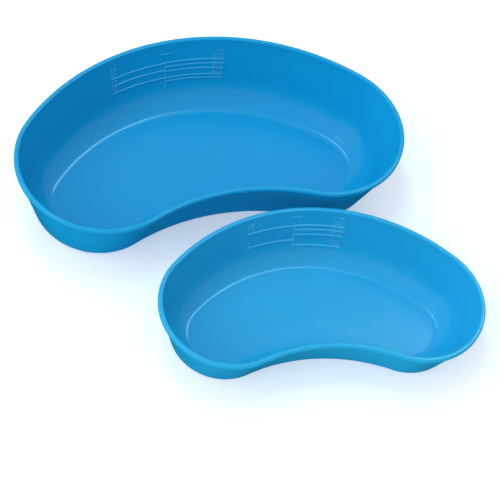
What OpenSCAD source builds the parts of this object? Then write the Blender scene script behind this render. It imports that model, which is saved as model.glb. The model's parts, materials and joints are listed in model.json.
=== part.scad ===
// Two nesting sizes of kidney dish, each one injection moulding in polypropylene.
// The origin is under the middle of the small dish, on the plane that both stand on.
// X runs along the small dish, Y towards its convex back and Z up.

/* [Sizes] */
// Length of the small dish over its rim
small_length = 200; // [180:5:210]
// Length of the large dish over its rim
large_length = 250; // [240:5:260]

/* [Kidney outline, as shares of the length] */
// Depth of the rim, from the convex back to the two round ends
depth_share = 0.55; // [0.54:0.005:0.58]
// Radius of the two round ends
end_share = 0.212; // [0.2:0.002:0.22]
// How far the dent in the front reaches in
dent_share = 0.059; // [0.045:0.002:0.07]
// Height from the table to the top of the rim
height_share = 0.19; // [0.17:0.005:0.2]

/* [Wall section] */
// Thickness of the wall
wall = 2; // [1.6:0.1:2.4]
// Thickness of the floor
floor_thick = 2.2; // [1.8:0.1:2.6]
// How far the wall leans outwards from upright
draft_angle = 16.5; // [12:0.5:18]
// Radius between the wall and the floor inside, as a share of the length
floor_round_share = 0.11; // [0.09:0.005:0.12]
// Radius between the wall and the base outside, as a share of the length
base_round_share = 0.025; // [0.015:0.005:0.03]
// Slope at which the inside round would run onto the flat floor
crease_angle = 22; // [18:1:26]
// Radius in the crease between the two, as a share of the length
crease_round_share = 0.0425; // [0.03:0.0025:0.05]

/* [Rim] */
// Width of the thickened rim
rim_wide = 3; // [2.8:0.1:3.4]
// Height of the thickened rim
rim_high = 3; // [2.4:0.1:3.6]
// How far the rim stands out beyond the wall below it
rim_lip = 1.1; // [0.8:0.1:1.4]
// Radius on the upper edges of the rim
rim_round = 1.2; // [0.8:0.1:1.3]
// Bevel on the lower outside edge of the rim
rim_edge = 0.4; // [0.2:0.1:0.6]

/* [Measuring scale] */
// Heights of the small dish's 100, 200, 250 and 300 ml lines, as shares of the inside height
small_ml_lines = [0.255, 0.47, 0.575, 0.67];
// Heights of the small dish's 5 and 10 fluid ounce lines
small_oz_lines = [0.36, 0.665];
// Heights of the large dish's 300, 350, 450, 525 and 600 ml lines
large_ml_lines = [0.365, 0.42, 0.525, 0.6, 0.67];
// Heights of the large dish's 12, 16 and 20 fluid ounce lines
large_oz_lines = [0.42, 0.545, 0.665];
// Length of a line, as a share of the dish's length
line_share = 0.155; // [0.1:0.005:0.18]
// Width of a raised line
line_wide = 0.8; // [0.6:0.1:1.2]
// How far a raised line stands out from the wall
line_proud = 0.5; // [0.3:0.05:0.6]

/* [Where the large dish stands] */
// Left of the small dish, middle to middle
large_left = 58; // [50:1:64]
// Behind the small dish, middle to middle
large_behind = 113; // [113:1:150]
// Turned about the upright axis
large_turn = 10; // [8:1:12]

/* [Hidden] */
$fn = 180;

small_blue = "#2D9BD8";
large_blue = "#1A86C8";

// How much of the wall a raised line is sunk into, so that the two are one solid.
line_root = 0.8;
// Chords per round in the wall section, and in the crease.
round_steps = 4;
crease_steps = 3;
// Rings of the shell along the back, each round end and the dent.
back_steps = 36;
end_steps = 28;
dent_steps = 16;

// Where the divider of the scale stands, in degrees to the left of the middle.
divider_turn = 3.5;
// The divider's lower end, as a share of the inside height.
divider_low = 0.2;

lean = tan(draft_angle);

// The outline is four tangent arcs: a wide back, two round ends and a wide dent.
function end_r(long) = end_share * long;
function end_x(long) = long / 2 - end_r(long);
function end_y(long) = end_r(long) - depth_share * long / 2;
function back_rise(long) = depth_share * long / 2 - end_y(long);
function back_r(long) = (end_x(long) ^ 2 + back_rise(long) ^ 2 - end_r(long) ^ 2)
    / (2 * (back_rise(long) - end_r(long)));
function back_y(long) = depth_share * long / 2 - back_r(long);
function dent_rise(long) = end_r(long) - dent_share * long;
function dent_r(long) = (end_x(long) ^ 2 + dent_rise(long) ^ 2 - end_r(long) ^ 2)
    / (2 * dent_share * long);
function dent_y(long) = (dent_share - depth_share / 2) * long - dent_r(long);

// Half angles of the back and the dent, from the Y axis to where the ends take over.
function back_half(long) = atan2(end_x(long), end_y(long) - back_y(long));
function dent_half(long) = atan2(end_x(long), end_y(long) - dent_y(long));

// Distance in from the rim's outer edge to the faces of the wall, at height z.
function outer_in(long, z) = rim_lip + (height_share * long - rim_high - z) * lean;
function inner_in(long, z) = outer_in(long, z) + wall / cos(draft_angle);

// The inside round, centred so that it meets the floor at the crease angle.
function floor_round(long) = floor_round_share * long;
function floor_round_z(long) = floor_thick + floor_round(long) * cos(crease_angle);
function floor_round_in(long) =
    inner_in(long, floor_round_z(long)) + floor_round(long) / cos(draft_angle);

// The smaller round in the crease touches the floor and the inside round from within.
// They meet at the slope meet_angle.
function crease_round(long) = crease_round_share * long;
function between(long) = floor_round(long) - crease_round(long);
function meet_angle(long) =
    acos((floor_round_z(long) - floor_thick - crease_round(long)) / between(long));
function crease_in(long) = floor_round_in(long) - between(long) * sin(meet_angle(long));

// Distance in from the rim's edge to the inside face at height z: the straight wall, and
// below it the inside round.
function face_in(long, z) = let (drop = floor_round_z(long) - z)
    drop < floor_round(long) * sin(draft_angle) ? inner_in(long, z)
        : floor_round_in(long) - sqrt(floor_round(long) ^ 2 - drop ^ 2);

function arc(cx, cy, r, from, to) =
    [for (i = [0 : round_steps]) let (a = from + (to - from) * i / round_steps)
        [cx + r * cos(a), cy + r * sin(a)]];

// The wall section as [distance in from the rim's edge, height], from the edge of the
// base up the outside, over the rim and down the inside to the crease of the floor.
function section(long) = let (
    high = height_share * long,
    base_round = base_round_share * long,
    base_in = outer_in(long, base_round) + base_round / cos(draft_angle)
) concat(
    arc(base_in, base_round, base_round, 270, 180 + draft_angle),
    [[outer_in(long, high - rim_high), high - rim_high],
     [rim_edge, high - rim_high],
     [0, high - rim_high + rim_edge]],
    arc(rim_round, high - rim_round, rim_round, 180, 90),
    arc(rim_wide - rim_round, high - rim_round, rim_round, 90, 0),
    arc(floor_round_in(long), floor_round_z(long), floor_round(long),
        180 + draft_angle, 270 - meet_angle(long)),
    [for (i = [1 : crease_steps]) let (a = 270 - meet_angle(long) * (1 - i / crease_steps))
        [crease_in(long) + crease_round(long) * cos(a),
         floor_thick + crease_round(long) * (1 + sin(a))]]
);

// Rings along one arc as [centre, radius, side, angle]. Moving in from the rim takes
// away from the radius, but adds to it at the dent, whose centre is in front of the dish.
function rings(centre, r, side, from, to, steps) =
    [for (i = [0 : steps - 1]) [centre, r, side, from + (to - from) * i / steps]];

function outline(long) = let (back = back_half(long), dent = dent_half(long)) concat(
    rings([0, back_y(long)], back_r(long), 1, 90 - back, 90 + back, back_steps),
    rings([-end_x(long), end_y(long)], end_r(long), 1, 90 + back, 270 + dent, end_steps),
    rings([0, dent_y(long)], dent_r(long), -1, 90 + dent, 90 - dent, dent_steps),
    rings([end_x(long), end_y(long)], end_r(long), 1, -90 - dent, 90 - back, end_steps)
);

function ring_point(ring, p) = let (r = ring[1] - ring[2] * p[0])
    [ring[0][0] + r * cos(ring[3]), ring[0][1] + r * sin(ring[3]), p[1]];

// The shell: one ring of section points at every step round the outline, closed by the
// flat base underneath and the flat floor inside.
module shell(long) {
    profile = section(long);
    path = outline(long);
    rows = len(profile);
    count = len(path);
    polyhedron(
        points = [for (ring = path) for (p = profile) ring_point(ring, p)],
        faces = concat(
            [for (i = [0 : count - 1]) for (j = [0 : rows - 2])
                let (here = i * rows + j, next = ((i + 1) % count) * rows + j)
                [here, here + 1, next + 1, next]],
            [[for (i = [0 : count - 1]) i * rows]],
            [[for (i = [count - 1 : -1 : 0]) i * rows + rows - 1]]
        )
    );
}

// A band on the inside of the back wall between two heights, as a section that follows
// the face in steps of about 4 mm.
function band(long, low, high) = let (
    steps = ceil((high - low) / 4),
    heights = [for (i = [0 : steps]) low + (high - low) * i / steps]
) concat(
    [for (z = heights) [face_in(long, z) + line_proud, z]],
    [for (i = [steps : -1 : 0]) [face_in(long, heights[i]) - line_root, heights[i]]]
);

function scale_z(long, share) = floor_thick + share * (height_share * long - floor_thick);

// Sweeps a section along the inside of the back wall, in degrees left of the middle.
module sweep_back(long, from, to, points)
    translate([0, back_y(long)]) rotate(90 + from) rotate_extrude(angle = to - from)
        polygon([for (p = points) [back_r(long) - p[0], p[1]]]);

module scale_line(long, share, from, to) {
    z = scale_z(long, share);
    sweep_back(long, from, to, band(long, z - line_wide / 2, z + line_wide / 2));
}

module measuring_scale(long, ml_lines, oz_lines) {
    line_turn = line_share * long / back_r(long) * 180 / PI;
    bar_turn = line_wide / back_r(long) * 180 / PI;
    top = max(concat(ml_lines, oz_lines));
    for (share = ml_lines)
        scale_line(long, share, divider_turn - line_turn, divider_turn);
    for (share = oz_lines)
        scale_line(long, share, divider_turn, divider_turn + line_turn);
    sweep_back(long, divider_turn - bar_turn / 2, divider_turn + bar_turn / 2,
        band(long, scale_z(long, divider_low), scale_z(long, top) + line_wide / 2));
}

module kidney_dish(long, ml_lines, oz_lines) {
    shell(long);
    measuring_scale(long, ml_lines, oz_lines);
}

module small_dish()
    color(small_blue) kidney_dish(small_length, small_ml_lines, small_oz_lines);

module large_dish()
    color(large_blue) translate([-large_left, large_behind, 0]) rotate(large_turn)
        kidney_dish(large_length, large_ml_lines, large_oz_lines);

small_dish();
large_dish();
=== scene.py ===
import json
import math

import bpy
import numpy as np
from bpy.props import (
    FloatProperty, FloatVectorProperty, IntProperty, PointerProperty, StringProperty,
)
from mathutils import Matrix, Vector


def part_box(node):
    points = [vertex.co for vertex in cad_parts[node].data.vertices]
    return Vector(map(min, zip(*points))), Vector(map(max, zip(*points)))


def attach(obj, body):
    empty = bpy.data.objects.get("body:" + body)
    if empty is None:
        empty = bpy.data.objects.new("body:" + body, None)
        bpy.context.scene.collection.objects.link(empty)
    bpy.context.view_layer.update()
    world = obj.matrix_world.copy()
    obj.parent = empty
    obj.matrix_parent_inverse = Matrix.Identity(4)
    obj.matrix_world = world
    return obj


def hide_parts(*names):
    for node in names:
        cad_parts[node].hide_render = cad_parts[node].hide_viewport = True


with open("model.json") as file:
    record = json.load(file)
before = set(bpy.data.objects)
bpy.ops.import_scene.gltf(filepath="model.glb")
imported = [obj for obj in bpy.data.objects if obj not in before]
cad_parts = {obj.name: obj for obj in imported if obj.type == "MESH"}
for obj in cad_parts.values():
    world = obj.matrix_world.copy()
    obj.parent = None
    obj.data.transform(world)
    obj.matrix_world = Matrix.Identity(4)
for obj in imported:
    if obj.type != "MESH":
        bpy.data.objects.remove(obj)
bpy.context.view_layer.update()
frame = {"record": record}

bl_info = {
    "name": "Kidney Dish Set",
    "version": (1, 0, 0),
    "blender": (4, 5, 0),
    "location": "3D View > Sidebar > Kidney Dish",
    "description": "Two sizes of moulded kidney dish with raised measuring scales",
    "category": "Object",
}

MM = 0.001

# Where each dish stands, read from the flat face that it rests on.
BASES = {mount["name"]: Vector(mount["pos_m"]) for mount in frame["record"]["mounts"]}

# Lines of each scale as (height up the inside as a share, figures beside it).
SMALL_MILLILITRES = [(0.255, "100"), (0.47, "200"), (0.575, "250"), (0.67, "300")]
SMALL_OUNCES = [(0.36, "5"), (0.665, "10")]
LARGE_MILLILITRES = [(0.365, "300"), (0.42, "350"), (0.525, "450"), (0.6, "525"), (0.67, "600")]
LARGE_OUNCES = [(0.42, "12"), (0.545, "16"), (0.665, "20")]

# Strokes of the scale's figures in a cell one unit high. A line is x, y to x, y; an arc is
# its centre, its two radii and its first and last angle in degrees.
STROKES = {
    "0": [("arc", 0.29, 0.5, 0.27, 0.5, 0, 360)],
    "1": [("line", 0.12, 0.78, 0.32, 1.0), ("line", 0.32, 1.0, 0.32, 0.0)],
    "2": [("arc", 0.29, 0.72, 0.26, 0.28, 165, -35), ("line", 0.5, 0.56, 0.03, 0.0),
          ("line", 0.03, 0.0, 0.56, 0.0)],
    "3": [("arc", 0.27, 0.75, 0.24, 0.25, 150, -90), ("arc", 0.27, 0.26, 0.28, 0.26, 90, -150)],
    "4": [("line", 0.42, 0.0, 0.42, 1.0), ("line", 0.42, 1.0, 0.0, 0.3),
          ("line", 0.0, 0.3, 0.58, 0.3)],
    "5": [("line", 0.52, 1.0, 0.12, 1.0), ("line", 0.12, 1.0, 0.08, 0.55),
          ("arc", 0.27, 0.32, 0.28, 0.32, 130, -145)],
    "6": [("arc", 0.29, 0.3, 0.27, 0.3, 0, 360), ("arc", 0.62, 0.3, 0.6, 0.7, 180, 115)],
    "m": [("line", 0.0, 0.6, 0.0, 0.0), ("arc", 0.17, 0.42, 0.17, 0.2, 180, 0),
          ("line", 0.34, 0.42, 0.34, 0.0), ("arc", 0.51, 0.42, 0.17, 0.2, 180, 0),
          ("line", 0.68, 0.42, 0.68, 0.0)],
    "l": [("line", 0.1, 1.0, 0.1, 0.0)],
    "o": [("arc", 0.27, 0.3, 0.26, 0.3, 0, 360)],
    "z": [("line", 0.03, 0.6, 0.48, 0.6), ("line", 0.48, 0.6, 0.03, 0.0),
          ("line", 0.03, 0.0, 0.48, 0.0)],
}
CELL_WIDTHS = {"m": 0.95, "l": 0.42, "z": 0.7}
FIGURE_CELL = 0.8
FIGURE_PROUD = 0.7      # how far figures stand out, as a share of the lines' height
HORIZON = 0.05          # half height of the band in which the surround fades in
COOL = "#A6EEFF"
WHITE = "#FFFFFF"

# The studio lights, in metres and watts, from the target outwards. The strip draws the bright
# line along the crease's left; the slim light draws the one at its right end and lights the
# floors; the small one adds a spot; the side light gives the walls their colour.
SOFTBOXES = {
    "strip_softbox": {
        "way": (0.43, 0.31, 0.85), "distance": 1.5, "width": 0.14, "length": 0.74,
        "watts": 8.0, "colour": COOL, "along": (0.27, 0.32, -0.25), "diffuse": False},
    "slim_softbox": {
        "way": (-0.22, 0.25, 0.943), "distance": 1.5, "width": 0.08, "length": 0.8,
        "watts": 6.5, "colour": COOL, "along": (-0.2, 0.52, -0.21)},
    "small_softbox": {
        "way": (-0.5, -0.09, 0.86), "distance": 1.5, "width": 0.12, "length": 0.12,
        "watts": 0.9, "colour": COOL, "diffuse": False},
    "left_softbox": {
        "way": (-0.753, -0.25, 0.57), "distance": 2.2, "width": 2.2, "length": 2.2,
        "watts": 22, "colour": WHITE, "glossy": False},
}


class DishForm(bpy.types.PropertyGroup):
    depth_share: FloatProperty(
        name="Depth", description="Depth over the rim as a share of the length", default=0.55)
    end_share: FloatProperty(
        name="End radius", description="Radius of the round ends as a share of the length",
        default=0.212)
    dent_share: FloatProperty(
        name="Dent", description="How far the dent reaches in, as a share of the length",
        default=0.059)
    height_share: FloatProperty(
        name="Height", description="Height as a share of the length", default=0.19)
    draft: FloatProperty(
        name="Draft", description="Lean of the wall from upright", subtype="ANGLE",
        default=math.radians(16.5))
    wall: FloatProperty(
        name="Wall", description="Thickness of the wall", unit="LENGTH", default=2 * MM)
    floor: FloatProperty(
        name="Floor", description="Thickness of the floor", unit="LENGTH", default=2.2 * MM)
    floor_round_share: FloatProperty(
        name="Inside round", description="Inside radius as a share of the length", default=0.11)
    base_round_share: FloatProperty(
        name="Outside round", description="Outside radius as a share of the length",
        default=0.025)
    crease: FloatProperty(
        name="Crease", description="Slope at which the inside round meets the floor",
        subtype="ANGLE", default=math.radians(22))
    crease_round_share: FloatProperty(
        name="Crease round", description="Radius in the crease as a share of the length",
        default=0.0425)
    rim_wide: FloatProperty(
        name="Rim width", description="Width of the thickened rim", unit="LENGTH",
        default=3 * MM)
    rim_high: FloatProperty(
        name="Rim height", description="Height of the thickened rim", unit="LENGTH",
        default=3 * MM)
    rim_lip: FloatProperty(
        name="Rim lip", description="How far the rim stands out from the wall below it",
        unit="LENGTH", default=1.1 * MM)
    rim_round: FloatProperty(
        name="Rim round", description="Radius on the rim's upper edges", unit="LENGTH",
        default=1.2 * MM)
    large_turn: FloatProperty(
        name="Large dish's turn", description="Turn of the large dish about the upright",
        subtype="ANGLE", default=math.radians(10))
    rings: IntProperty(
        name="Rings", description="Sections swept round each outline", default=480)


class ScaleForm(bpy.types.PropertyGroup):
    line_share: FloatProperty(
        name="Line length", description="Length of a line as a share of the dish's length",
        default=0.155)
    line_wide: FloatProperty(
        name="Line width", description="Width of a raised line", unit="LENGTH",
        default=0.9 * MM)
    proud: FloatProperty(
        name="Proud", description="How far the lines stand out of the wall", unit="LENGTH",
        default=0.6 * MM)
    figure_high: FloatProperty(
        name="Figure height", description="Height of the figures", unit="LENGTH",
        default=3 * MM)
    figure_wide: FloatProperty(
        name="Figure stroke", description="Width of a figure's stroke", unit="LENGTH",
        default=0.5 * MM)
    divider_turn: FloatProperty(
        name="Divider", description="Place of the upright divider, left of the middle",
        subtype="ANGLE", default=math.radians(3.5))
    divider_low: FloatProperty(
        name="Divider's foot", description="Height of the divider's foot as a share",
        default=0.2)


class PlasticForm(bpy.types.PropertyGroup):
    small_pigment: StringProperty(
        name="Small dish", description="Colour of the small dish, sRGB hex", default="#22A8DB")
    large_pigment: StringProperty(
        name="Large dish", description="Colour of the large dish, sRGB hex", default="#0D9CD3")
    # The scale colours are lighter than the dishes' pigments: a painted highlight for the light
    # that the raised lines and figures catch. They are the same plastic as the dish.
    small_scale_highlight: StringProperty(
        name="Small dish's scale", description="Colour of its thin raised lines, sRGB hex",
        default="#48BEEA")
    large_scale_highlight: StringProperty(
        name="Large dish's scale", description="Colour of its thin raised lines, sRGB hex",
        default="#35AEDF")
    roughness: FloatProperty(
        name="Roughness", description="Roughness of the moulded face", default=0.2)
    glow: FloatProperty(
        name="Translucence", description="Share of light that passes into the plastic",
        default=0.12)


class StageForm(bpy.types.PropertyGroup):
    floor_colour: StringProperty(
        name="Floor", description="Colour of the floor, sRGB hex", default="#F4F5F6")
    # Painted light: the floor glows though it is no lamp. The glow keeps it white and lights the
    # dishes' outer walls from below.
    floor_glow: FloatProperty(
        name="Floor glow", description="Light that the floor gives off to stay white",
        default=0.35)
    floor_span: FloatProperty(
        name="Floor span", description="Side of the floor", unit="LENGTH", default=8.0)
    sky: FloatProperty(
        name="Surround", description="Strength of the even light from above", default=0.62)
    elevation: FloatProperty(
        name="Elevation", description="How far the camera looks down", subtype="ANGLE",
        default=math.radians(55.98))
    heading: FloatProperty(
        name="Heading", description="Camera's turn from looking along +Y towards +X",
        subtype="ANGLE", default=math.radians(21.67))
    roll: FloatProperty(
        name="Roll", description="Camera's roll about its own axis", subtype="ANGLE",
        default=math.radians(17.27))
    distance: FloatProperty(
        name="Distance", description="From the camera to its target", unit="LENGTH",
        default=0.947)
    target: FloatVectorProperty(
        name="Target", description="Point on the floor that the camera looks at",
        unit="LENGTH", default=(-0.0316, 0.0479, 0.0))
    lens: FloatProperty(
        name="Lens", description="Focal length in millimetres", default=108.0)


def linear(hex_colour):
    """An sRGB hex colour as linear RGBA: the sRGB curve undone channel by channel."""
    srgb = [int(hex_colour[i:i + 2], 16) / 255 for i in (1, 3, 5)]
    return [c / 12.92 if c <= 0.04045 else ((c + 0.055) / 1.055) ** 2.4 for c in srgb] + [1.0]


class Dish:
    """Sizes and curves of one kidney dish of a given height, in metres."""

    def __init__(self, form, height, place, turn):
        self.form = form
        self.high = height
        self.long = height / form.height_share
        self.place = np.array(place)
        self.turn = turn
        self.floor_round = form.floor_round_share * self.long
        self.base_round = form.base_round_share * self.long
        self.crease_round = form.crease_round_share * self.long
        self.cove_z = form.floor + self.floor_round * math.cos(form.crease)
        self.cove_in = self.inner_in(self.cove_z) + self.floor_round / math.cos(form.draft)
        self.arcs = self.outline_arcs()
        self.mid_radius = self.back_radius - self.inner_in(self.high / 2)

    def outline_arcs(self):
        """The outline's four tangent arcs as rows of centre x, centre y, radius, side, first
        and last angle. The ends' centres follow from their radius; the back's and the dent's
        radii are those of the circles that touch both end circles and the given depth."""
        form, half = self.form, self.long / 2
        end = form.end_share * self.long
        end_x, end_y = half - end, end - form.depth_share * half
        rise = form.depth_share * half - end_y
        back = (end_x ** 2 + rise ** 2 - end ** 2) / (2 * (rise - end))
        back_y = form.depth_share * half - back
        sink = end - form.dent_share * self.long
        dent = (end_x ** 2 + sink ** 2 - end ** 2) / (2 * form.dent_share * self.long)
        dent_y = (form.dent_share - form.depth_share / 2) * self.long - dent
        up = math.pi / 2
        back_half = math.atan2(end_x, end_y - back_y)
        dent_half = math.atan2(end_x, end_y - dent_y)
        self.back_radius, self.back_y = back, back_y
        return np.array([
            [0, back_y, back, 1, up - back_half, up + back_half],
            [-end_x, end_y, end, 1, up + back_half, 3 * up + dent_half],
            [0, dent_y, dent, -1, up + dent_half, up - dent_half],
            [end_x, end_y, end, 1, -up - dent_half, up - back_half],
        ])

    def ring_arcs(self, count):
        """Arc rows for count places spaced evenly round the rim, each with its own angle."""
        spans = self.arcs[:, 2] * np.abs(self.arcs[:, 5] - self.arcs[:, 4])
        ends = np.cumsum(spans)
        along = (np.arange(count) + 0.5) / count * ends[-1]
        which = np.searchsorted(ends, along)
        rows = self.arcs[which]
        share = (along - (ends - spans)[which]) / spans[which]
        angle = rows[:, 4] + share * (rows[:, 5] - rows[:, 4])
        return rows, angle

    def outer_in(self, z):
        """Distance in from the rim's edge to the wall's outer face: a straight lean."""
        return self.form.rim_lip + (self.high - self.form.rim_high - z) * math.tan(self.form.draft)

    def inner_in(self, z):
        """Distance in from the rim's edge to the wall's inner face, one wall farther in."""
        return self.outer_in(z) + self.form.wall / math.cos(self.form.draft)

    def face(self, z):
        """The inside face at height z as its distance in from the rim's edge and its lean
        from upright. Higher up it is the straight wall; lower down, the inside round:
        in = centre - root(radius squared - drop squared), lean = arc sine(drop / radius)."""
        sine = np.maximum((self.cove_z - z) / self.floor_round, math.sin(self.form.draft))
        curve = self.cove_in - self.floor_round * np.sqrt(1 - sine ** 2)
        straight = sine <= math.sin(self.form.draft) + 1e-9
        return np.where(straight, self.inner_in(z), curve), np.arcsin(sine)

    def scale_z(self, share):
        """The height at a share of the way from the floor to the rim."""
        return self.form.floor + share * (self.high - self.form.floor)

    def settle(self, points):
        """Points of the dish's own frame turned and moved to where the dish stands."""
        cos, sin = math.cos(self.turn), math.sin(self.turn)
        turned = points @ np.array([[cos, sin, 0], [-sin, cos, 0], [0, 0, 1]])
        return turned + self.place

    def on_back_wall(self, along, z, proud):
        """The inside of the back wall as a surface of two parameters: along is the distance
        right of the middle at mid height and z the height; proud stands off its face.
        Radius = back radius - face's distance in, angle = 90 degrees - along / mid radius."""
        angle = math.pi / 2 - along / self.mid_radius
        inward, lean = self.face(z)
        radius = self.back_radius - inward - proud * np.cos(lean)
        return np.stack([
            radius * np.cos(angle),
            self.back_y + radius * np.sin(angle),
            z + proud * np.sin(lean),
        ], axis=-1)


def round_rows(centre, radius, first, last, steps):
    """Rows [distance in, height] along an arc of the section; angles are in radians."""
    angle = np.linspace(first, last, steps + 1)
    return np.stack([centre[0] + radius * np.cos(angle), centre[1] + radius * np.sin(angle)], 1)


def wall_rows(dish):
    """The section from the base's edge up the outside, over the rim and down to the crease:
    straight drafted faces joined by arcs, as rows of distance in from the rim and height."""
    form, high, lean = dish.form, dish.high, dish.form.draft
    half_turn, down, up = math.pi, 1.5 * math.pi, 0.5 * math.pi
    under = high - form.rim_high
    soft = 0.35 * MM        # radius where the rim's underside meets the wall
    base = [dish.outer_in(dish.base_round) + dish.base_round / math.cos(lean), dish.base_round]
    cove = [dish.cove_in, dish.cove_z]
    tuck = dish.crease_round
    between = dish.floor_round - tuck
    meet = math.acos((dish.cove_z - form.floor - tuck) / between)
    crease = [cove[0] - between * math.sin(meet), form.floor + tuck]
    rim_in = form.rim_round
    wall_z = np.linspace(dish.base_round, under - 1.2 * soft, 9)[1:]
    cove_top = dish.cove_z - dish.floor_round * math.sin(lean)
    inner_z = np.linspace(under - 1.5 * MM, cove_top, 9)[:-1]
    return np.concatenate([
        round_rows(base, dish.base_round, down, half_turn + lean, steps=14),
        np.stack([dish.outer_in(wall_z), wall_z], 1),
        round_rows([dish.outer_in(under) - soft, under - soft], soft, 0.1, up, steps=4),
        round_rows([soft, under + soft], soft, down, half_turn, steps=4),
        round_rows([rim_in, high - rim_in], rim_in, half_turn, up, steps=10),
        round_rows([form.rim_wide - rim_in, high - rim_in], rim_in, up, 0.12, steps=9),
        np.stack([dish.inner_in(inner_z), inner_z], 1),
        round_rows(cove, dish.floor_round, half_turn + lean, down - meet, steps=24)[:-1],
        round_rows(crease, tuck, down - meet, down, steps=9),
    ])


def spread_rows(steps, rim_z, middle_z, hub):
    """Rows of a flat face as (share of the way from hub to edge, hub radius, height); the
    height follows a cosine from the edge to the middle, a crown or dish of a moulded face."""
    share = np.linspace(1, 0, steps + 1)[1:]
    height = rim_z + (middle_z - rim_z) * (0.5 + 0.5 * np.cos(np.pi * share))
    return np.stack([share, np.full(steps, hub), height], 1)


def shell_mesh(name, dish, rings):
    """One closed moulding. Parameter u runs round the outline and v through the rows. Wall
    rows lie on offset arcs, centre + (radius - side * distance in) * (cos, sin). Rows of the
    two flat faces run from the last wall row to a small circle about the middle."""
    rows, angle = dish.ring_arcs(rings)
    aim = np.stack([np.cos(angle), np.sin(angle)], 1)
    section = wall_rows(dish)
    reach = rows[:, 2][:, None] - rows[:, 3][:, None] * section[:, 0][None]
    wall = np.concatenate([
        rows[:, None, :2] + reach[..., None] * aim[:, None],
        np.broadcast_to(section[:, 1][None, :, None], reach.shape + (1,)),
    ], 2)

    def face_rows(edge, spread):
        """A flat face's points between a ring's edge and its hub circle."""
        out = np.linalg.norm(edge[:, :2], axis=1)
        unit = edge[:, :2] / out[:, None]
        far = spread[:, 1] + (out[:, None] - spread[:, 1]) * spread[:, 0]
        height = np.broadcast_to(spread[:, 2][None], far.shape)
        return np.dstack([unit[:, None] * far[..., None], height])

    # Radii and depth of the gate mark: a shallow dimple with a cut-off nub in its middle.
    gate, nub, dimple, hub = 6 * MM, 1.4 * MM, 0.5 * MM, 0.3 * MM
    nub_z = 0.2 * MM
    under = np.concatenate([
        spread_rows(10, 0.0, 0.0, gate),
        [[0, gate - 0.3 * MM, 0.1 * MM], [0, gate - 0.6 * MM, dimple],
         [0, nub + 0.4 * MM, dimple], [0, nub, dimple - 0.1 * MM],
         [0, nub - 0.3 * MM, nub_z], [0, hub, nub_z]],
    ])
    crown = 0.35 * MM
    inside = spread_rows(16, dish.form.floor, dish.form.floor + crown, hub)
    grid = np.concatenate([
        face_rows(wall[:, 0], under)[:, ::-1], wall, face_rows(wall[:, -1], inside),
    ], 1)
    return grid_mesh(name, dish.settle(grid.reshape(-1, 3)), rings, grid.shape[1])


def grid_mesh(name, points, around, across):
    """A closed mesh from a grid of points that wraps round in its first parameter; a flat
    cap closes each end of the second."""
    here = np.arange(around)[:, None] * across + np.arange(across - 1)[None]
    beside = np.roll(here, -1, axis=0)
    quads = np.stack([here, beside, beside + 1, here + 1], -1).reshape(-1, 4)
    first = np.arange(around) * across
    faces = quads.tolist() + [first[::-1].tolist(), (first + across - 1).tolist()]
    mesh = bpy.data.meshes.new(name)
    mesh.from_pydata(points, [], faces)
    mesh.shade_smooth()
    return mesh


def stroke_path(kind, *numbers):
    """A stroke's points in its figure's cell: evenly along a line or an elliptical arc."""
    if kind == "line":
        share = np.linspace(0, 1, 6)[:, None]
        return (1 - share) * np.array(numbers[:2]) + share * np.array(numbers[2:])
    x, y, wide, high, first, last = numbers
    angle = np.radians(np.linspace(first, last, 8 + int(abs(last - first) / 15)))
    return np.stack([x + wide * np.cos(angle), y + high * np.sin(angle)], 1)


def ridge(dish, path, width, proud):
    """A raised rib that follows a path on the back wall. Across, it is a half ellipse that
    is width wide and stands proud; along, it keeps the path's tangent, and a half circle
    rounds each end. Gives its grid of points: path places by section places."""
    step = np.linalg.norm(np.diff(path, axis=0), axis=1)
    path = path[np.concatenate([[True], step > 1e-7])]
    heading = np.gradient(path, axis=0)
    heading /= np.linalg.norm(heading, axis=1)[:, None]
    cap = np.sin(np.radians([90, 60, 30]))[:, None] * width / 2
    spine = np.concatenate([
        path[:1] - heading[:1] * cap, path, path[-1:] + heading[-1:] * cap[::-1],
    ])
    heading = np.concatenate([
        np.repeat(heading[:1], 3, 0), heading, np.repeat(heading[-1:], 3, 0),
    ])
    tip = np.cos(np.radians([88, 60, 30]))      # 88, not 90, keeps the end from closing up
    full = np.concatenate([tip, np.ones(len(path)), tip[::-1]])
    across = np.stack([-heading[:, 1], heading[:, 0]], 1)
    angle = np.radians(np.linspace(0, 180, 9))
    sink = 0.4 * MM         # how deep the rib's foot goes into the wall
    side = np.concatenate([[1], np.cos(angle), [-1]]) * width / 2
    rise = np.concatenate([[-sink], np.sin(angle) * proud, [-sink]])
    flat = spine[:, None] + across[:, None] * (side[None] * full[:, None])[..., None]
    lift = np.where(rise[None] > 0, rise[None] * full[:, None], rise[None])
    return dish.on_back_wall(flat[..., 0], flat[..., 1], lift)


def ridges_mesh(name, dish, grids):
    """One mesh of many ribs: each grid wraps round its section and is capped at both ends."""
    points, faces, base = [], [], 0
    for grid in grids:
        long, around = grid.shape[:2]
        row = base + np.arange(long - 1)[:, None] * around
        here = row + np.arange(around)[None]
        beside = row + (np.arange(around)[None] + 1) % around
        quads = np.stack([here, beside, beside + around, here + around], -1).reshape(-1, 4)
        start = base + np.arange(around)
        faces += quads.tolist() + [start[::-1].tolist(), (start + (long - 1) * around).tolist()]
        points.append(grid.reshape(-1, 3))
        base += long * around
    mesh = bpy.data.meshes.new(name)
    mesh.from_pydata(dish.settle(np.concatenate(points)), [], faces)
    mesh.shade_smooth()
    return mesh


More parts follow.
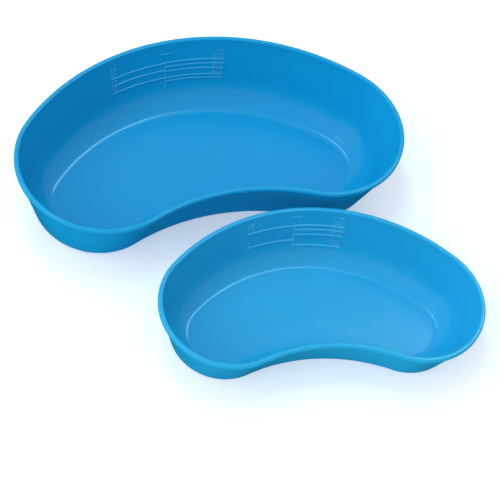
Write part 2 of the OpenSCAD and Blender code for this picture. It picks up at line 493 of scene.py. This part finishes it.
def scale_lines(dish, form, millilitres, ounces):
    """The long lines on both sides of the divider, and the divider itself."""
    middle = -form.divider_turn * dish.mid_radius
    reach = form.line_share * dish.long
    clear = 0.15 * MM       # keeps the two sides' ends apart inside the divider
    grids = []
    for lines, way in ((millilitres, 1), (ounces, -1)):
        for share, _ in lines:
            along = np.linspace(middle + way * clear, middle + way * reach, 40)
            path = np.stack([along, np.full(40, dish.scale_z(share))], 1)
            grids.append(ridge(dish, path, form.line_wide, form.proud))
    top = max(share for share, _ in millilitres + ounces)
    height = np.linspace(dish.scale_z(form.divider_low), dish.scale_z(top), 30)
    path = np.stack([np.full(30, middle), height], 1)
    grids.append(ridge(dish, path, form.line_wide, form.proud))
    return grids


def figure_ridges(dish, form, text, left, low):
    """A row of figures whose lower left corner is at left along the wall and height low."""
    grids = []
    for letter in text:
        for stroke in STROKES[letter]:
            path = stroke_path(*stroke) * form.figure_high + np.array([left, low])
            grids.append(ridge(dish, path, form.figure_wide, form.proud * FIGURE_PROUD))
        left += CELL_WIDTHS.get(letter, FIGURE_CELL) * form.figure_high
    return grids


def text_width(form, text):
    """How wide a row of figures is along the wall."""
    return sum(CELL_WIDTHS.get(letter, FIGURE_CELL) for letter in text) * form.figure_high


def scale_figures(dish, form, millilitres, ounces):
    """Figures just above the outer end of each line, the units above them, and a short plain
    bar near the rim over the divider."""
    middle = -form.divider_turn * dish.mid_radius
    reach = form.line_share * dish.long
    gap = 0.9 * MM              # from a line to the foot of its figures
    bar_half, bar_up = 3 * MM, 1.5 * MM
    right = middle + reach
    left = middle - reach
    grids = []
    for share, text in millilitres:
        start = right - text_width(form, text)
        grids += figure_ridges(dish, form, text, start, dish.scale_z(share) + gap)
    for share, text in ounces:
        grids += figure_ridges(dish, form, text, left, dish.scale_z(share) + gap)
    above = dish.scale_z(max(share for share, _ in millilitres)) + 2.2 * gap + form.figure_high
    grids += figure_ridges(dish, form, "ml", right - text_width(form, "ml"), above)
    grids += figure_ridges(dish, form, "oz", left, above)
    bar = np.stack([
        middle + np.linspace(-bar_half, bar_half, 12), np.full(12, above + bar_up)], 1)
    grids.append(ridge(dish, bar, form.figure_wide, form.proud * FIGURE_PROUD))
    return grids


def add_node(tree, kind, settings=None, inputs=None):
    """Adds a shader node, sets its properties and fills or links its inputs."""
    node = tree.nodes.new(kind)
    for key, value in (settings or {}).items():
        setattr(node, key, value)
    for key, value in (inputs or {}).items():
        if isinstance(value, bpy.types.NodeSocket):
            tree.links.new(value, node.inputs[key])
        else:
            node.inputs[key].default_value = value
    return node


def blank_material(name):
    """A material with an empty node tree."""
    material = bpy.data.materials.new(name)
    material.use_nodes = True
    material.node_tree.nodes.clear()
    return material, material.node_tree


def moulded_polypropylene(name, pigment, form):
    """Injection moulded polypropylene with blue pigment. The steel mould leaves a smooth,
    softly glossy face with a fine grain, the colour streams very slightly where the melt
    flowed, and a little light passes into the plastic, which brightens thin edges."""
    material, tree = blank_material(name)
    place = add_node(tree, "ShaderNodeTexCoord").outputs["Object"]
    # For a scale, the colour given is lighter than the dish's own: a painted highlight on the
    # raised lines and figures.
    base = linear(pigment)
    # The streams vary the pigment by a few per cent.
    lighter = [min(1.0, c * 1.07) for c in base[:3]] + [1.0]
    darker = [c * 0.95 for c in base[:3]] + [1.0]
    streaks = add_node(tree, "ShaderNodeTexNoise", {}, {
        "Vector": place, "Scale": 1 / (70 * MM), "Detail": 2.0, "Roughness": 0.5})
    colour = add_node(tree, "ShaderNodeMix", {"data_type": "RGBA"}, {
        "Factor": streaks.outputs["Fac"]})
    colour.inputs[6].default_value = darker
    colour.inputs[7].default_value = lighter
    patches = add_node(tree, "ShaderNodeTexNoise", {}, {
        "Vector": place, "Scale": 1 / (9 * MM), "Detail": 3.0, "Roughness": 0.6})
    rough = add_node(tree, "ShaderNodeMapRange", {}, {
        "Value": patches.outputs["Fac"], "From Min": 0.3, "From Max": 0.7,
        "To Min": form.roughness - 0.03, "To Max": form.roughness + 0.04})
    # Spark-eroded grain is about 0.1 mm; it is drawn at 3 mm so that it shows.
    grain = add_node(tree, "ShaderNodeTexNoise", {}, {
        "Vector": place, "Scale": 1 / (3 * MM), "Detail": 1.0, "Roughness": 0.4})
    relief = add_node(tree, "ShaderNodeBump", {}, {
        "Height": grain.outputs["Fac"], "Strength": 0.2, "Distance": 0.02 * MM})
    shader = add_node(tree, "ShaderNodeBsdfPrincipled", {}, {
        "Base Color": colour.outputs[2], "Roughness": rough.outputs["Result"],
        "Normal": relief.outputs["Normal"], "IOR": 1.49, "Specular IOR Level": 0.32,
        "Subsurface Weight": form.glow,
        "Subsurface Radius": (0.5, 1.0, 1.4), "Subsurface Scale": 1.2 * MM})
    add_node(tree, "ShaderNodeOutputMaterial", {}, {"Surface": shader.outputs["BSDF"]})
    return material


def painted_board(name, colour, glow):
    """Matt painted board for the floor: an even, nearly white, soft face. It also glows with
    painted light, which keeps it white and lights the dishes' outer walls from below.
    """
    material, tree = blank_material(name)
    place = add_node(tree, "ShaderNodeTexCoord").outputs["Object"]
    tooth = add_node(tree, "ShaderNodeTexNoise", {}, {
        "Vector": place, "Scale": 1 / (3 * MM), "Detail": 2.0})
    relief = add_node(tree, "ShaderNodeBump", {}, {
        "Height": tooth.outputs["Fac"], "Strength": 0.05, "Distance": 0.02 * MM})
    # The emission is painted light: the board glows though it is no lamp.
    shader = add_node(tree, "ShaderNodeBsdfPrincipled", {}, {
        "Base Color": linear(colour), "Roughness": 0.75, "Specular IOR Level": 0.2,
        "Emission Color": linear(colour), "Emission Strength": glow,
        "Normal": relief.outputs["Normal"]})
    add_node(tree, "ShaderNodeOutputMaterial", {}, {"Surface": shader.outputs["BSDF"]})
    return material


def piece(name, mesh, material, body):
    """Puts a finished mesh into the scene as a piece that rides on a body."""
    mesh.materials.append(material)
    made = bpy.data.objects.new(name, mesh)
    bpy.context.scene.collection.objects.link(made)
    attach(made, body)
    return made


def make_dish(context, body, pigment, scale_highlight_colour, turn, millilitres, ounces):
    """Makes one dish's shell, scale lines and figures around its CAD node."""
    scene = context.scene
    low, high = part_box(body)
    place = BASES[body.replace("dish", "base")]
    dish = Dish(scene.kidney_form, high.z - low.z, place, turn)
    plastic = moulded_polypropylene(f"{body}_moulded_polypropylene", pigment,
                                    scene.kidney_plastic)
    shell = piece(f"{body}_shell", shell_mesh(f"{body}_shell", dish, scene.kidney_form.rings),
                  plastic, body)
    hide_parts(body)
    # The scale's plastic is the shell's plastic painted lighter, a painted highlight for the light
    # that its ridges catch.
    thin = moulded_polypropylene(f"{body}_scale_highlight_polypropylene", scale_highlight_colour,
                                 scene.kidney_plastic)
    form = scene.kidney_scale
    lines = scale_lines(dish, form, millilitres, ounces)
    piece(f"{body}_scale_lines", ridges_mesh(f"{body}_scale_lines", dish, lines),
          thin, body)
    figures = scale_figures(dish, form, millilitres, ounces)
    piece(f"{body}_scale_figures", ridges_mesh(f"{body}_scale_figures", dish, figures),
          thin, body)


class KIDNEY_OT_small_dish(bpy.types.Operator):
    """Makes the small dish with its raised scale"""
    bl_idname = "kidney.small_dish"
    bl_label = "Small dish"

    def execute(self, context):
        plastic = context.scene.kidney_plastic
        make_dish(context, "small_dish", plastic.small_pigment,
                  plastic.small_scale_highlight, 0.0, SMALL_MILLILITRES, SMALL_OUNCES)
        return {"FINISHED"}


class KIDNEY_OT_large_dish(bpy.types.Operator):
    """Makes the large dish with its raised scale"""
    bl_idname = "kidney.large_dish"
    bl_label = "Large dish"

    def execute(self, context):
        plastic = context.scene.kidney_plastic
        make_dish(context, "large_dish", plastic.large_pigment,
                  plastic.large_scale_highlight, context.scene.kidney_form.large_turn,
                  LARGE_MILLILITRES, LARGE_OUNCES)
        return {"FINISHED"}


def soft_light(name, aim, way, distance, width, length, watts, colour, along=None,
               diffuse=True, glossy=True):
    """A rectangular studio light at a distance from aim in the direction way. Its long side
    lies along a direction if one is given; without diffuse it shows only as a reflection,
    and without glossy only as light on the faces."""
    data = bpy.data.lights.new(name, "AREA")
    data.shape = "RECTANGLE"
    data.size, data.size_y = width, length
    data.energy = watts
    data.color = linear(colour)[:3]
    light = bpy.data.objects.new(name, data)
    bpy.context.scene.collection.objects.link(light)
    way = Vector(way).normalized()
    light.location = aim + way * distance
    light.rotation_euler = way.to_track_quat("Z", "Y").to_euler()
    light.visible_diffuse, light.visible_glossy = diffuse, glossy
    if along:
        aim_long_side(light, Vector(along))


def aim_long_side(light, along):
    """Turns a light about its own beam until its long side lies along a direction."""
    beam = light.matrix_basis.to_3x3() @ Vector((0, 0, 1))
    long_side = (along - along.dot(beam) * beam).normalized()
    turn = Matrix((long_side.cross(beam), long_side, beam)).transposed()
    light.rotation_euler = turn.to_euler()


class KIDNEY_OT_stage(bpy.types.Operator):
    """Makes the floor, the lights and the camera"""
    bl_idname = "kidney.stage"
    bl_label = "Stage"

    def execute(self, context):
        form = context.scene.kidney_stage
        half = form.floor_span / 2
        mesh = bpy.data.meshes.new("floor")
        corners = [(-half, -half, 0), (half, -half, 0), (half, half, 0), (-half, half, 0)]
        mesh.from_pydata(corners, [], [(0, 1, 2, 3)])
        mesh.materials.append(painted_board("painted_board", form.floor_colour, form.floor_glow))
        floor = bpy.data.objects.new("floor", mesh)
        context.scene.collection.objects.link(floor)
        floor.visible_glossy = False

        world = bpy.data.worlds.new("studio")
        world.use_nodes = True
        tree = world.node_tree
        tree.nodes.clear()
        way = add_node(tree, "ShaderNodeTexCoord").outputs["Generated"]
        height = add_node(tree, "ShaderNodeSeparateXYZ", {}, {"Vector": way}).outputs["Z"]
        rise = add_node(tree, "ShaderNodeMapRange", {}, {
            "Value": height, "From Min": -HORIZON, "From Max": HORIZON, "To Max": form.sky})
        surround = add_node(tree, "ShaderNodeBackground", {}, {
            "Color": linear(WHITE), "Strength": rise.outputs["Result"]})
        add_node(tree, "ShaderNodeOutputWorld", {}, {"Surface": surround.outputs["Background"]})
        context.scene.world = world

        target = Vector(form.target)
        for name, facts in SOFTBOXES.items():
            soft_light(name, target, **facts)

        data = bpy.data.cameras.new("camera")
        data.lens = form.lens
        data.sensor_width = 36.0
        camera = bpy.data.objects.new("camera", data)
        context.scene.collection.objects.link(camera)
        level = math.cos(form.elevation)
        look = Vector((level * math.sin(form.heading), level * math.cos(form.heading),
                       -math.sin(form.elevation)))
        level_side = look.cross(Vector((0, 0, 1))).normalized()
        side = Matrix.Rotation(-form.roll, 3, look) @ level_side
        above = side.cross(look)
        turn = Matrix((side, above, -look)).transposed()
        camera.matrix_world = Matrix.Translation(target - look * form.distance) @ turn.to_4x4()
        context.scene.camera = camera
        context.scene.view_settings.view_transform = "Standard"
        return {"FINISHED"}


class KIDNEY_PT_panel(bpy.types.Panel):
    bl_idname = "KIDNEY_PT_panel"
    bl_label = "Kidney Dish Set"
    bl_space_type = "VIEW_3D"
    bl_region_type = "UI"
    bl_category = "Kidney Dish"

    def draw(self, context):
        for operator in OPERATORS:
            self.layout.operator(operator.bl_idname)
        for group in ("kidney_form", "kidney_scale", "kidney_plastic", "kidney_stage"):
            settings = getattr(context.scene, group)
            box = self.layout.box()
            for key in settings.__annotations__:
                box.prop(settings, key)


OPERATORS = (KIDNEY_OT_small_dish, KIDNEY_OT_large_dish, KIDNEY_OT_stage)
SETTINGS = {"kidney_form": DishForm, "kidney_scale": ScaleForm,
            "kidney_plastic": PlasticForm, "kidney_stage": StageForm}


def register():
    for made in (*SETTINGS.values(), *OPERATORS, KIDNEY_PT_panel):
        bpy.utils.register_class(made)
    for name, group in SETTINGS.items():
        setattr(bpy.types.Scene, name, PointerProperty(type=group))


def unregister():
    for name in SETTINGS:
        delattr(bpy.types.Scene, name)
    for made in (KIDNEY_PT_panel, *reversed(OPERATORS), *SETTINGS.values()):
        bpy.utils.unregister_class(made)


def main():
    register()
    bpy.ops.kidney.stage()
    bpy.ops.kidney.small_dish()
    bpy.ops.kidney.large_dish()


if __name__ == "__main__":
    main()
